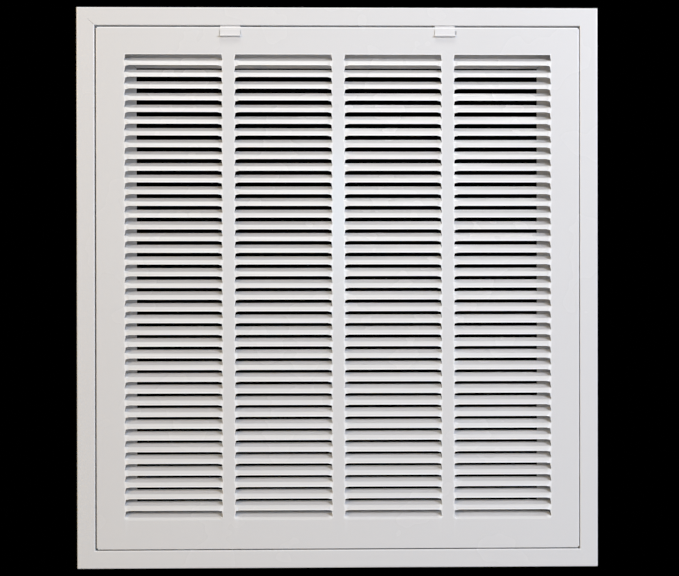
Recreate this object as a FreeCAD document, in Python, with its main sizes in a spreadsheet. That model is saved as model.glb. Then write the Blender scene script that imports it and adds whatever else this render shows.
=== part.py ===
"""Return air filter grille: a mitred wall frame of folded steel with a louvred door hinged at the bottom.

The frame's back face, which lies on the wall, is the plane Y = 0. The front looks along -Y, X runs to the
right and Z runs up. The origin is the middle of the frame on the wall plane. All lengths are millimetres.
"""

import FreeCAD, Part
import math
import os

import Sketcher

# Driving dimensions: name, value, meaning
SIZES = [
    ("frame_width", 575.0, "outer width of the frame"),
    ("frame_height", 618.0, "outer height of the frame"),
    ("frame_sheet", 1.0, "sheet thickness of the frame"),
    ("frame_depth", 11.0, "from the wall to the front of the flange"),
    ("flange_width", 19.8, "front flange, outer edge to door recess"),
    ("ledge_width", 16.7, "screw ledge, from the recess to the neck"),
    ("neck_length", 33.0, "from the wall to the back of the neck"),
    ("rear_lip_width", 24.2, "lip that the filter rests on, from the neck's outside"),
    ("outer_bend", 1.6, "radius of the flange's outer bend"),
    ("recess_bend", 1.1, "radius of the bend into the recess"),
    ("mitre_gap", 0.1, "cut off each rail end, square to the mitre"),
    ("wall_slot_length", 24.4, "slots in the recess walls"),
    ("wall_slot_width", 4.4, "slots in the recess walls, front to back"),
    ("wall_slot_front", 4.2, "from the flange front to the hook slots"),
    ("keeper_slot_front", 1.4, "from the flange front to the keeper slots of the latches"),
    ("side_slot_place", 178.0, "slots of the side rails, from the middle"),
    ("top_slot_place", 166.0, "slots and hooks of the top and bottom rails, from the middle"),
    ("screw_place", 200.0, "screw holes of the side rails, from the middle"),
    ("screw_hole", 5.0, "diameter of the screw holes"),
    ("angle_sheet", 1.0, "corner angles, thickness"),
    ("angle_leg", 22.0, "corner angles, leg"),
    ("angle_length", 26.0, "corner angles, front to back"),
    ("angle_inset", 1.0, "corner angles, from the neck's back edge"),
    ("rivet_shank", 3.2, "rivet shank diameter"),
    ("rivet_head", 6.0, "rivet head diameter"),
    ("rivet_head_height", 1.0, "rivet head height"),
    ("rivet_fit", 0.05, "radial clearance of the rivets in their holes"),
    ("door_gap", 1.2, "gap between the door and the recess"),
    ("door_shift", 0.35, "door to the right of the frame's middle, as it hangs on its hooks"),
    ("door_sheet", 0.9, "sheet thickness of the door"),
    ("door_seat", 0.3, "between the door's folded edges and the ledge"),
    ("door_bend", 1.2, "radius of the door's edge bends"),
    ("corner_relief", 1.5, "relief notch at the door's corners"),
    ("column_spacing", 120.9, "louvre columns, centre to centre"),
    ("side_border", 12.0, "least flat sheet beside the outer louvre columns"),
    ("lower_border", 25.0, "least flat sheet below the last blade"),
    ("opening_top", 105.8, "louvre opening, width at its top"),
    ("opening_base", 108.0, "louvre opening, width at the blade crease"),
    ("cheek", 1.0, "flat sheet beside the widest part of an opening"),
    ("blade_pitch", 12.9, "blades, centre to centre"),
    ("first_slit", 51.85, "outer top edge of the frame to the first slit"),
    ("lance_height", 6.95, "slit to the blade crease, in the flat sheet"),
    ("crease_depth", 1.8, "blade crease behind the face"),
    ("eave_proud", 1.2, "lower blade edge in front of the face"),
    ("eave_lift", 1.0, "lower blade edge above the slit below it"),
    ("flap_depth", 7.8, "upper part of the blade, crease to free edge, back"),
    ("flap_height", 4.0, "upper part of the blade, crease to free edge, up"),
    ("flap_taper", 0.9, "free edge of the blade in from the crease, each end"),
    ("blade_twist", 5.5, "end of a blade that turns into the flat sheet"),
    ("hook_sheet", 1.0, "hinge hooks, thickness"),
    ("hook_shoulder", 32.0, "hinge hooks, width above the recess wall"),
    ("hook_tongue", 22.0, "hinge hooks, width in the wall slot"),
    ("hook_reach", 4.8, "hinge hooks, below the door's bottom edge"),
    ("hook_foot", 3.0, "hinge hooks, leg welded to the door"),
    ("hook_play", 0.3, "hook to slot edge, and shoulder to recess wall"),
    ("hook_fit", 0.1, "hook in its slot in the door's bottom fold"),
    ("latch_place", 118.8, "latches, from the middle"),
    ("latch_shift", 0.8, "right latch off its place, towards the middle"),
    ("tab_width", 22.6, "finger plate, width"),
    ("tab_height", 7.8, "finger plate, height"),
    ("tab_drop", 1.9, "finger plate's top below the door's top edge"),
    ("tab_thick", 0.9, "finger plate, thickness"),
    ("tab_ledge", 3.4, "finger ledge, out from the back of the plate"),
    ("tab_ledge_thick", 1.3, "finger ledge, thickness"),
    ("tab_curve", 1.6, "radius between the finger plate and its ledge"),
    ("tab_edge", 0.4, "radius of the tab's outer edges"),
    ("tab_play", 0.2, "finger plate in front of the face"),
    ("slot_width", 23.4, "slot in the face behind the finger plate"),
    ("slot_height", 4.0, "height of that slot"),
    ("slot_drop", 4.8, "slot's top below the door's top edge"),
    ("neck_width", 20.4, "tab's neck, width"),
    ("neck_height", 1.4, "tab's neck, height"),
    ("neck_play", 0.1, "tab's neck below the top of its slot"),
    ("socket_fit", 0.05, "tab's neck in the slide's socket"),
    ("slide_width", 24.0, "slide, width"),
    ("slide_height", 12.0, "slide, height without the tongue"),
    ("slide_thick", 2.6, "slide, thickness"),
    ("slide_drop", 0.8, "slide below the door's top fold"),
    ("slide_play", 0.25, "slide to the face and the guide, and tongue to its slots"),
    ("slide_side_play", 1.0, "slide to the guide's sides, and tongue to the ends of its slot"),
    ("tongue_thick", 1.6, "tongue, thickness"),
    ("tongue_width", 22.0, "tongue, width"),
    ("tongue_end_gap", 0.3, "tongue tip to the recess wall above it"),
    ("guide_sheet", 0.8, "latch guide, thickness"),
    ("guide_foot", 6.0, "latch guide, welded feet"),
    ("guide_drop", 1.0, "latch guide's top below the slide's top"),
    ("spring_height", 5.0, "leaf spring, height"),
    ("spring_sheet", 0.4, "leaf spring, thickness"),
    ("spring_width", 1.8, "leaf spring, front to back"),
    ("spring_inset", 1.0, "leaf spring, in from the slide's sides"),
    ("spring_foot", 2.0, "leaf spring, flat at each end"),
    ("spring_crown", 6.0, "leaf spring, flat at its top"),
    ("spring_play", 0.15, "leaf spring to its shelf and to the slide"),
    ("overcut", 1.0, "how far a cut starts and ends outside the metal"),
]

doc = FreeCAD.newDocument("return_air_filter_grille")
sheet = doc.addObject("Spreadsheet::Sheet", "Sizes")
for row, (name, value, meaning) in enumerate(SIZES, start=1):
    sheet.set(f"A{row}", meaning)
    sheet.set(f"B{row}", str(value))
    sheet.setAlias(f"B{row}", name)
doc.recompute()


class Formula:
    """A length kept both as its number and as the words that bind a property to the sheet."""

    def __init__(self, words, value):
        self.words = words
        self.value = float(value)

    def joined(self, other, sign, value, turned=False):
        other = other if isinstance(other, Formula) else Formula(repr(float(other)), other)
        first, second = (other, self) if turned else (self, other)
        return Formula(f"({first.words} {sign} {second.words})", value(first.value, second.value))

    def __add__(self, other):
        return self.joined(other, "+", lambda a, b: a + b)

    def __radd__(self, other):
        return self.joined(other, "+", lambda a, b: a + b, True)

    def __sub__(self, other):
        return self.joined(other, "-", lambda a, b: a - b)

    def __rsub__(self, other):
        return self.joined(other, "-", lambda a, b: a - b, True)

    def __mul__(self, other):
        return self.joined(other, "*", lambda a, b: a * b)

    def __rmul__(self, other):
        return self.joined(other, "*", lambda a, b: a * b, True)

    def __truediv__(self, other):
        return self.joined(other, "/", lambda a, b: a / b)

    def __neg__(self):
        return 0.0 - self


class Sizes:
    """Every cell of the sheet as a Formula, by its name."""

    def __getattr__(self, name):
        return Formula(f"Sizes.{name}", getattr(sheet, name))


s = Sizes()


def bind(thing, place, formula):
    """Ties one property to the sheet, or sets it where it is a plain number."""
    if isinstance(formula, Formula):
        thing.setExpression(place, formula.words)
    else:
        thing.setExpression(place, repr(float(formula)))


def number(formula):
    return formula.value if isinstance(formula, Formula) else float(formula)


def new_body(label, at=(0.0, 0.0, 0.0), turn=0.0):
    """A body with its place in the grille: at is X, Y and Z, and turn is in degrees about Y."""
    body = doc.addObject("PartDesign::Body", label)
    body.Label = label
    body.Placement = FreeCAD.Placement(
        FreeCAD.Vector(0, 0, 0), FreeCAD.Rotation(FreeCAD.Vector(0, 1, 0), turn)
    )
    for axis, formula in zip("xyz", at):
        bind(body, f"Placement.Base.{axis}", formula)
    return body


def outline(body, name, role, loops, lift=0.0):
    """A sketch of closed loops on an origin plane; each corner is two formulas, measured from the origin."""
    plane = next(o for o in body.Origin.OriginFeatures if o.Role == role)
    sketch = body.newObject("Sketcher::SketchObject", name)
    sketch.AttachmentSupport = [(plane, "")]
    sketch.MapMode = "FlatFace"
    bind(sketch, "AttachmentOffset.Base.z", lift)
    for corners in loops:
        first = sketch.GeometryCount
        count = len(corners)
        spots = [FreeCAD.Vector(number(x), number(y), 0) for x, y in corners]
        for i in range(count):
            sketch.addGeometry(Part.LineSegment(spots[i], spots[(i + 1) % count]), False)
        for i in range(count):
            sketch.addConstraint(
                Sketcher.Constraint("Coincident", first + i, 2, first + (i + 1) % count, 1)
            )
        for i, corner in enumerate(corners):
            for kind, formula in zip(("DistanceX", "DistanceY"), corner):
                place = sketch.addConstraint(
                    Sketcher.Constraint(kind, -1, 1, first + i, 1, number(formula))
                )
                if isinstance(formula, Formula):
                    sketch.setExpression(f"Constraints[{place}]", formula.words)
    return sketch


def rectangle(x0, x1, y0, y1):
    return [(x0, y0), (x1, y0), (x1, y1), (x0, y1)]


def rings(body, name, role, centres, radius, lift=0.0):
    """A sketch of equal circles on an origin plane; each centre is a pair of formulas from the origin."""
    sketch = outline(body, name, role, [], lift)
    for centre in centres:
        spot = FreeCAD.Vector(number(centre[0]), number(centre[1]), 0)
        ring = sketch.addGeometry(Part.Circle(spot, FreeCAD.Vector(0, 0, 1), number(radius)), False)
        for kind, formula in zip(("DistanceX", "DistanceY"), centre):
            place = sketch.addConstraint(Sketcher.Constraint(kind, -1, 1, ring, 3, number(formula)))
            if isinstance(formula, Formula):
                sketch.setExpression(f"Constraints[{place}]", formula.words)
        place = sketch.addConstraint(Sketcher.Constraint("Radius", ring, number(radius)))
        sketch.setExpression(f"Constraints[{place}]", radius.words)
    return sketch


def pad(body, sketch, length, middle=False, turned=False):
    feature = body.newObject("PartDesign::Pad", f"{sketch.Name}_pad")
    feature.Profile = sketch
    feature.SideType = "Symmetric" if middle else "One side"
    feature.Reversed = turned
    bind(feature, "Length", length)
    doc.recompute()
    return feature


def pocket(body, sketch, length, turned=False):
    """Cuts against the sketch's normal, or along it if turned."""
    feature = body.newObject("PartDesign::Pocket", f"{sketch.Name}_pocket")
    feature.Profile = sketch
    feature.Reversed = turned
    bind(feature, "Length", length)
    doc.recompute()
    return feature


def long_edges(shape, axis, spot):
    """Names of the straight edges along an axis that pass through the given two other coordinates."""
    found = []
    others = [i for i in range(3) if i != axis]
    for i, edge in enumerate(shape.Edges, start=1):
        middle, box = edge.BoundBox.Center, edge.BoundBox
        spans = (box.XLength, box.YLength, box.ZLength)
        if all(spans[o] < 1e-6 for o in others) and spans[axis] > 1e-6:
            centre = (middle.x, middle.y, middle.z)
            if all(abs(centre[o] - number(spot[k])) < 1e-4 for k, o in enumerate(others)):
                found.append(f"Edge{i}")
    return found


def round_edges(body, base, places, radius, name):
    """Rounds the edges that the places name: each place is an axis, 0 to 2, and the two other coordinates."""
    feature = body.newObject("PartDesign::Fillet", name)
    edges = [edge for axis, spot in places for edge in long_edges(base.Shape, axis, spot)]
    feature.Base = (base, edges)
    bind(feature, "Radius", radius)
    doc.recompute()
    return feature


# Places shared by several pieces
half_width = s.frame_width / 2
half_height = s.frame_height / 2
front = -s.frame_depth
neck_outside = s.flange_width + s.ledge_width
door_half_width = half_width - s.flange_width - s.door_gap
door_half_height = half_height - s.flange_width - s.door_gap
door_back = front + s.door_sheet
slot_front = front + s.wall_slot_front
angle_front = s.neck_length - s.angle_inset - s.angle_length
rivet_depth = angle_front + s.angle_length / 2
rivet_hole = s.rivet_shank / 2 + s.rivet_fit

# Latch levels, used by the door, the slides and the guides
slot_top = door_half_height - s.slot_drop
neck_top = slot_top - s.neck_play
slide_top = door_half_height - s.door_sheet - s.slide_drop
slide_bottom = slide_top - s.slide_height
slide_front = door_back + s.slide_play
slide_back = slide_front + s.slide_thick
shelf_top = slide_bottom - s.spring_height - 2.0 * s.spring_play
tongue_front = slide_front + (s.slide_thick - s.tongue_thick) / 2
tongue_back = tongue_front + s.tongue_thick
tongue_tip = half_height - s.flange_width - s.tongue_end_gap


# Frame rails
# Each rail is drawn with its outer edge on the X axis and its inside towards -Z, then turned into its place.
def rail(label, length, slot_place, at, turn, upright=False, keepers=False):
    """length is the rail's own outer length. An upright one also has the screw holes and the rivet holes."""
    body = new_body(label, at, turn)
    t = s.frame_sheet
    flange_end = -s.flange_width
    neck = -neck_outside
    lip = neck - s.rear_lip_width
    section = [
        (0.0, 0.0),
        (front, 0.0),
        (front, flange_end),
        (-t, flange_end),
        (-t, neck - t),
        (s.neck_length - t, neck - t),
        (s.neck_length - t, lip),
        (s.neck_length, lip),
        (s.neck_length, neck),
        (0.0, neck),
        (0.0, flange_end + t),
        (front + t, flange_end + t),
        (front + t, -t),
        (0.0, -t),
    ]
    bar = pad(body, outline(body, f"{label}_section", "YZ_Plane", [section]), length, middle=True)
    outer = round_edges(body, bar, [(0, (front, 0.0))], s.outer_bend, f"{label}_outer_bend")
    round_edges(body, outer, [(0, (front, flange_end))], s.recess_bend, f"{label}_recess_bend")

    # The two mitres: each end loses the triangle beyond the 45 degree line, and a little more for the seam.
    end = length / 2
    seam = s.mitre_gap * math.sqrt(2.0)
    beyond = s.frame_depth
    mitres = [
        [
            (side * (end - seam + beyond), beyond),
            (side * (end + beyond), beyond),
            (side * (end + beyond), lip - beyond),
            (side * (end - seam + lip - beyond), lip - beyond),
        ]
        for side in (-1.0, 1.0)
    ]
    ends = outline(body, f"{label}_mitres", "XZ_Plane", mitres, lift=s.frame_depth + s.overcut)
    pocket(body, ends, s.frame_depth + s.neck_length + 2.0 * s.overcut)

    # The slots are cut through the recess wall only. Those for the latches lie nearer to the front.
    half = s.wall_slot_length / 2
    openings = []
    rows_of_slots = [(slot_place, slot_front)]
    if keepers:
        rows_of_slots.append((s.latch_place, front + s.keeper_slot_front))
    for place, start in rows_of_slots:
        for side in (-1.0, 1.0):
            middle = side * place
            openings.append(rectangle(middle - half, middle + half, start, start + s.wall_slot_width))
    slots = outline(body, f"{label}_slots", "XY_Plane", openings, lift=flange_end + t + s.overcut)
    cut = pocket(body, slots, t + 2.0 * s.overcut)

    if upright:
        # A rivet hole through the neck near each end, in line with the hole of the corner angle.
        from_end = neck_outside + s.angle_leg / 2
        spots = [(side * (end - from_end), rivet_depth) for side in (-1.0, 1.0)]
        holes = rings(body, f"{label}_rivet_holes", "XY_Plane", spots, rivet_hole, lift=neck + s.overcut)
        pocket(body, holes, t + 2.0 * s.overcut)

        spots = [(side * s.screw_place, flange_end - s.ledge_width / 2) for side in (-1.0, 1.0)]
        holes = rings(body, f"{label}_screw_holes", "XZ_Plane", spots, s.screw_hole / 2, lift=t + s.overcut)
        cut = pocket(body, holes, t + 2.0 * s.overcut)
    body.Tip = cut
    return body


rails = [
    rail("top_rail", s.frame_width, s.top_slot_place, (0.0, 0.0, half_height), 0.0, keepers=True),
    rail("bottom_rail", s.frame_width, s.top_slot_place, (0.0, 0.0, -half_height), 180.0),
    rail("left_rail", s.frame_height, s.side_slot_place, (-half_width, 0.0, 0.0), -90.0, upright=True),
    rail("right_rail", s.frame_height, s.side_slot_place, (half_width, 0.0, 0.0), 90.0, upright=True),
]


# Door tray
# The face with its folded edges, before the blades: a shallow tray, open at the back.
tray = new_body("door_tray", (s.door_shift, 0.0, 0.0))
fold_depth = s.frame_depth - s.frame_sheet - s.door_seat
face = outline(
    tray,
    "tray_face",
    "XZ_Plane",
    [rectangle(-door_half_width, door_half_width, -door_half_height, door_half_height)],
    lift=s.frame_depth,
)
block = pad(tray, face, fold_depth, turned=True)
bends = [(0, (front, door_half_height)), (0, (front, -door_half_height))]
bends += [(2, (door_half_width, front)), (2, (-door_half_width, front))]
round_edges(tray, block, bends, s.door_bend, "tray_bends")
hollow = outline(
    tray,
    "tray_hollow",
    "XZ_Plane",
    [
        rectangle(
            s.door_sheet - door_half_width,
            door_half_width - s.door_sheet,
            s.door_sheet - door_half_height,
            door_half_height - s.door_sheet,
        )
    ],
    lift=s.frame_depth - s.door_sheet,
)
pocket(tray, hollow, fold_depth)

# As many louvre columns and rows as the door has room for.
window_half = s.opening_base / 2 + s.cheek
room = 2.0 * (door_half_width - s.side_border - window_half)
columns = 1 + int(number(room / s.column_spacing))
column_places = [(i - (columns - 1) / 2) * s.column_spacing for i in range(columns)]
first_slit = half_height - s.first_slit
slope = (s.crease_depth + s.eave_proud) / (s.blade_pitch - s.lance_height - s.eave_lift)
last_drop = s.lance_height + s.crease_depth / slope
room = first_slit + door_half_height - s.lower_border - last_drop
rows = 1 + int(number(room / s.blade_pitch))
last_end = first_slit - (rows - 1) * s.blade_pitch - last_drop
openings = [
    rectangle(x - window_half, x + window_half, last_end, first_slit) for x in column_places
]
for side in (-1.0, 1.0):
    middle = side * s.latch_place
    half = s.slot_width / 2
    openings.append(rectangle(middle - half, middle + half, slot_top - s.slot_height, slot_top))
for x_side in (-1.0, 1.0):
    for z_side in (-1.0, 1.0):
        x = [x_side * (door_half_width - s.corner_relief), x_side * (door_half_width + s.overcut)]
        z = [z_side * (door_half_height - s.corner_relief), z_side * (door_half_height + s.overcut)]
        openings.append(rectangle(x[0], x[1], z[0], z[1]))
windows = outline(tray, "tray_openings", "XZ_Plane", openings, lift=s.frame_depth + s.overcut)
pocket(tray, windows, s.frame_depth + 2.0 * s.overcut)

# Slots in the folded edges: for the tongues at the top and for the hooks at the bottom.
half = s.tongue_width / 2 + s.slide_side_play
openings = [
    rectangle(middle - half, middle + half, tongue_front - s.slide_play, tongue_back + s.slide_play)
    for middle in (-s.latch_place, s.latch_place)
]
slots = outline(tray, "tray_tongue_slots", "XY_Plane", openings, lift=door_half_height + s.overcut)
pocket(tray, slots, s.door_sheet + 2.0 * s.overcut)
hook_front = slot_front + s.hook_play
hook_back = hook_front + s.hook_sheet
half = s.hook_shoulder / 2 + s.hook_play
openings = [
    rectangle(middle - half, middle + half, hook_front - s.hook_fit, hook_back + s.hook_fit)
    for middle in (-s.top_slot_place, s.top_slot_place)
]
slots = outline(
    tray, "tray_hook_slots", "XY_Plane", openings, lift=s.door_sheet + s.overcut - door_half_height
)
tray.Tip = pocket(tray, slots, s.door_sheet + 2.0 * s.overcut)


# Louvre blades
# One lanced blade with the flat sheet beside its opening, as a solid of flat facets. The sheet is cut along
# the slit and down both slanted sides to the crease. Above the crease it is pressed back as a flap. Below, it
# leans through the face as an eave, and its ends turn back into the flat sheet over the twist length.
def blade(last=False):
    size = {name: float(getattr(sheet, name)) for name, _, _ in SIZES}
    t = size["door_sheet"]
    top = size["opening_top"] / 2
    base = size["opening_base"] / 2
    edge = base + size["cheek"]
    inner = base - size["blade_twist"]
    crease = -size["lance_height"]
    lean = number(slope)
    if last:
        foot = -number(last_drop)
        eave = (0.0, foot)
    else:
        foot = -size["blade_pitch"]
        eave = (-size["eave_proud"], foot + size["eave_lift"])
    free = (size["crease_depth"] + size["flap_depth"], crease + size["flap_height"])
    length = math.hypot(size["flap_depth"], size["flap_height"])
    along = (size["flap_depth"] / length, size["flap_height"] / length)
    under = (along[1] * t, -along[0] * t)

    # Where the flap's underside meets the back of the leaning part.
    behind = size["crease_depth"] + t
    start = (size["crease_depth"] + under[0], crease + under[1])
    way = (behind - start[0] + lean * (start[1] - crease)) / (along[0] - lean * along[1])
    mitre = (start[0] + way * along[0], start[1] + way * along[1])

    def spots(side):
        """Named corners of one half: front ones, then the same ones on the back of the sheet."""
        front_of = {
            "slit_out": (edge, 0.0, 0.0),
            "slit_in": (top, 0.0, 0.0),
            "crease_end": (base, 0.0, crease),
            "foot_in": (top, 0.0, foot),
            "foot_out": (edge, 0.0, foot),
            "crease_in": (inner, size["crease_depth"], crease),
            "eave_in": (inner, eave[0], eave[1]),
            "free_end": (base - size["flap_taper"], free[0], free[1]),
        }
        back_of = {name: (x, y + t, z) for name, (x, y, z) in front_of.items()}
        back_of["crease_in"] = (inner, mitre[0], mitre[1])
        back_of["free_end"] = (base - size["flap_taper"], free[0] + under[0], free[1] + under[1])
        return [
            {name: FreeCAD.Vector(side * x, y, z) for name, (x, y, z) in skin.items()}
            for skin in (front_of, back_of)
        ]

    faces = []

    def facet(*corners):
        faces.append(Part.Face(Part.makePolygon(list(corners) + [corners[0]])))

    halves = [spots(-1.0), spots(1.0)]
    for front_of, back_of in halves:
        for skin in (front_of, back_of):
            facet(skin["slit_out"], skin["slit_in"], skin["crease_end"], skin["foot_in"], skin["foot_out"])
            facet(skin["crease_end"], skin["foot_in"], skin["eave_in"])
            facet(skin["crease_end"], skin["eave_in"], skin["crease_in"])
            facet(skin["crease_end"], skin["crease_in"], skin["free_end"])
        rim = ["foot_out", "slit_out", "slit_in", "crease_end"]
        for first, second in zip(rim, rim[1:]):
            facet(front_of[first], front_of[second], back_of[second], back_of[first])
        for first, second in (("foot_out", "foot_in"), ("foot_in", "eave_in")):
            facet(front_of[first], front_of[second], back_of[second], back_of[first])
        facet(front_of["crease_end"], front_of["free_end"], back_of["free_end"])
        facet(front_of["crease_end"], back_of["free_end"], back_of["crease_end"])
    (left_front, left_back), (right_front, right_back) = halves
    for left, right in ((left_front, right_front), (left_back, right_back)):
        facet(left["crease_in"], left["eave_in"], right["eave_in"], right["crease_in"])
        facet(left["crease_in"], right["crease_in"], right["free_end"], left["free_end"])
    for name in ("eave_in", "free_end"):
        facet(left_front[name], right_front[name], right_back[name], left_back[name])
    shell = Part.makeShell(faces)
    shell.sewShape()
    solid = Part.makeSolid(shell)
    if solid.Volume < 0:
        solid.reverse()
    return solid


one_blade = blade()
last_blade = blade(last=True)
blades = []
for x in column_places:
    for row in range(rows):
        copy = (last_blade if row == rows - 1 else one_blade).copy()
        z = number(first_slit - row * s.blade_pitch)
        copy.translate(FreeCAD.Vector(number(x + s.door_shift), number(front), z))
        blades.append(copy)
door = doc.addObject("Part::Feature", "louvre_door")
door.Label = "louvre_door"
door.Shape = tray.Shape.fuse(blades).removeSplitter()


# Hinge hooks
# A folded tab: its foot is welded inside the door's bottom fold and its tongue hangs in the slot of the rail.
def hook(label, side):
    body = new_body(label, (s.door_shift + side * s.top_slot_place, 0.0, -door_half_height))
    fold_top = s.door_sheet
    section = [
        (hook_front, -s.hook_reach),
        (hook_back, -s.hook_reach),
        (hook_back, fold_top),
        (hook_back + s.hook_foot, fold_top),
        (hook_back + s.hook_foot, fold_top + s.hook_sheet),
        (hook_front, fold_top + s.hook_sheet),
    ]
    pad(body, outline(body, f"{label}_section", "YZ_Plane", [section]), s.hook_shoulder, middle=True)
    low = -s.hook_reach - s.overcut
    shoulder = s.hook_play - s.door_gap
    half = s.hook_tongue / 2
    out = s.hook_shoulder / 2 + s.overcut
    trims = outline(
        body,
        f"{label}_shoulders",
        "XZ_Plane",
        [rectangle(half, out, low, shoulder), rectangle(-out, -half, low, shoulder)],
        lift=s.frame_depth,
    )
    body.Tip = pocket(body, trims, s.frame_depth)
    return body


hooks = [hook("hinge_hook_left", -1.0), hook("hinge_hook_right", 1.0)]


# Corner angles
# Each is welded to the neck of the top or bottom rail and riveted to the neck of the side rail.
def corner_angle(label, x_side, z_side):
    body = new_body(label)
    x = x_side * (half_width - neck_outside)
    z = z_side * (half_height - neck_outside)
    t = s.angle_sheet
    leg = s.angle_leg
    loop = [
        (x, z),
        (x - x_side * leg, z),
        (x - x_side * leg, z + z_side * t),
        (x + x_side * t, z + z_side * t),
        (x + x_side * t, z - z_side * leg),
        (x, z - z_side * leg),
    ]
    section = outline(body, f"{label}_section", "XZ_Plane", [loop], lift=-angle_front)
    pad(body, section, s.angle_length, turned=True)
    spots = [(rivet_depth, z - z_side * leg / 2)]
    hole = rings(body, f"{label}_hole", "YZ_Plane", spots, rivet_hole, lift=x - t - s.overcut)
    body.Tip = pocket(body, hole, 2.0 * (t + s.overcut), turned=True)
    return body


angles = [
    corner_angle("corner_angle_top_left", -1.0, 1.0),
    corner_angle("corner_angle_top_right", 1.0, 1.0),
    corner_angle("corner_angle_bottom_left", -1.0, -1.0),
    corner_angle("corner_angle_bottom_right", 1.0, -1.0),
]


# Corner rivets
# One rivet turned about its axis, a shank through neck and angle with a flat head at each end, and copies.
rivet = new_body("rivet")
inside = -s.frame_sheet
profile = outline(
    rivet,
    "rivet_profile",
    "XZ_Plane",
    [
        [
            (0.0, inside - s.rivet_head_height),
            (s.rivet_head / 2, inside - s.rivet_head_height),
            (s.rivet_head / 2, inside),
            (s.rivet_shank / 2, inside),
            (s.rivet_shank / 2, s.angle_sheet),
            (s.rivet_head / 2, s.angle_sheet),
            (s.rivet_head / 2, s.angle_sheet + s.rivet_head_height),
            (0.0, s.angle_sheet + s.rivet_head_height),
        ]
    ],
)
turned = rivet.newObject("PartDesign::Revolution", "rivet_turned")
turned.Profile = profile
turned.ReferenceAxis = (profile, ["V_Axis"])
turned.Angle = 360.0
rivet.Tip = turned
doc.recompute()
rivet_copies = []
for x_side in (-1.0, 1.0):
    for z_side in (-1.0, 1.0):
        x = x_side * number(half_width - neck_outside)
        z = z_side * number(half_height - neck_outside - s.angle_leg / 2)
        copy = rivet.Shape.copy()
        outward = FreeCAD.Rotation(FreeCAD.Vector(0, 0, 1), FreeCAD.Vector(x_side, 0, 0))
        copy.Placement = FreeCAD.Placement(FreeCAD.Vector(x, number(rivet_depth), z), outward)
        rivet_copies.append(copy)
corner_rivets = doc.addObject("Part::Feature", "corner_rivets")
corner_rivets.Label = "corner_rivets"
corner_rivets.Shape = Part.makeCompound(rivet_copies)


# Latches
def latch_tab(label, x):
    """Finger plate in front of the face with its ledge, and the neck that reaches the slide."""
    body = new_body(label, (x, 0.0, 0.0))
    back = front - s.tab_play
    plate_front = back - s.tab_thick
    ledge_front = back - s.tab_ledge
    top = door_half_height - s.tab_drop
    bottom = top - s.tab_height
    ledge_top = bottom + s.tab_ledge_thick
    section = [
        (back, bottom),
        (ledge_front, bottom),
        (ledge_front, ledge_top),
        (plate_front, ledge_top),
        (plate_front, top),
        (back, top),
    ]
    plate = pad(body, outline(body, f"{label}_section", "YZ_Plane", [section]), s.tab_width, middle=True)
    corner = [(0, (plate_front, ledge_top))]
    curved = round_edges(body, plate, corner, s.tab_curve, f"{label}_curve")
    edges = [(0, spot) for spot in ((ledge_front, bottom), (ledge_front, ledge_top), (plate_front, top))]
    round_edges(body, curved, edges, s.tab_edge, f"{label}_edges")
    neck = rectangle(
        back - s.tab_thick / 2, slide_front + s.slide_thick / 2, neck_top - s.neck_height, neck_top
    )
    sketch = outline(body, f"{label}_neck", "YZ_Plane", [neck])
    body.Tip = pad(body, sketch, s.neck_width, middle=True)
    return body


def latch_slide(label, x):
    """The part behind the face: a plate with the neck's socket, and the tongue above it."""
    body = new_body(label, (x, 0.0, 0.0))
    plate = rectangle(slide_front, slide_back, slide_bottom, slide_top)
    pad(body, outline(body, f"{label}_plate", "YZ_Plane", [plate]), s.slide_width, middle=True)
    tongue = rectangle(tongue_front, tongue_back, slide_bottom, tongue_tip)
    pad(body, outline(body, f"{label}_tongue", "YZ_Plane", [tongue]), s.tongue_width, middle=True)
    half = s.neck_width / 2 + s.socket_fit
    hole = rectangle(-half, half, neck_top - s.neck_height - s.socket_fit, neck_top + s.socket_fit)
    socket = outline(body, f"{label}_socket", "XZ_Plane", [hole], lift=s.overcut - slide_front)
    body.Tip = pocket(body, socket, s.overcut + s.slide_thick / 2 + s.socket_fit)
    return body


def latch_guide(label, x):
    """A folded pocket behind the slide: back, sides, a shelf for the spring, and two welded feet."""
    body = new_body(label, (x, 0.0, 0.0))
    t = s.guide_sheet
    inner = s.slide_width / 2 + s.slide_side_play
    outer = inner + t + s.guide_foot
    back = slide_back + s.slide_play
    loop = [
        (-outer, door_back),
        (-inner, door_back),
        (-inner, back),
        (inner, back),
        (inner, door_back),
        (outer, door_back),
        (outer, door_back + t),
        (inner + t, door_back + t),
        (inner + t, back + t),
        (-inner - t, back + t),
        (-inner - t, door_back + t),
        (-outer, door_back + t),
    ]
    bottom = shelf_top - t
    hat = outline(body, f"{label}_hat", "XY_Plane", [loop], lift=bottom)
    pad(body, hat, slide_top - s.guide_drop - bottom)
    floor = rectangle(-inner - t / 2, inner + t / 2, slide_front, back + t / 2)
    shelf = outline(body, f"{label}_shelf", "XY_Plane", [floor], lift=bottom)
    body.Tip = pad(body, shelf, t)
    return body


def latch_spring(label, x):
    """A bowed strip between the guide's shelf and the slide."""
    body = new_body(label, (x, 0.0, shelf_top))
    t = s.spring_sheet
    low = s.spring_play
    high = s.spring_play + s.spring_height
    end = s.slide_width / 2 - s.spring_inset
    foot = end - s.spring_foot
    crown = s.spring_crown / 2
    loop = [
        (-end, low),
        (-foot, low),
        (-crown, high - t),
        (crown, high - t),
        (foot, low),
        (end, low),
        (end, low + t),
        (foot + t / 4, low + t),
        (crown, high),
        (-crown, high),
        (-foot - t / 4, low + t),
        (-end, low + t),
    ]
    middle = slide_front + s.slide_thick / 2
    strip = outline(body, f"{label}_strip", "XZ_Plane", [loop], lift=s.spring_width / 2 - middle)
    body.Tip = pad(body, strip, s.spring_width, turned=True)
    return body


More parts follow.
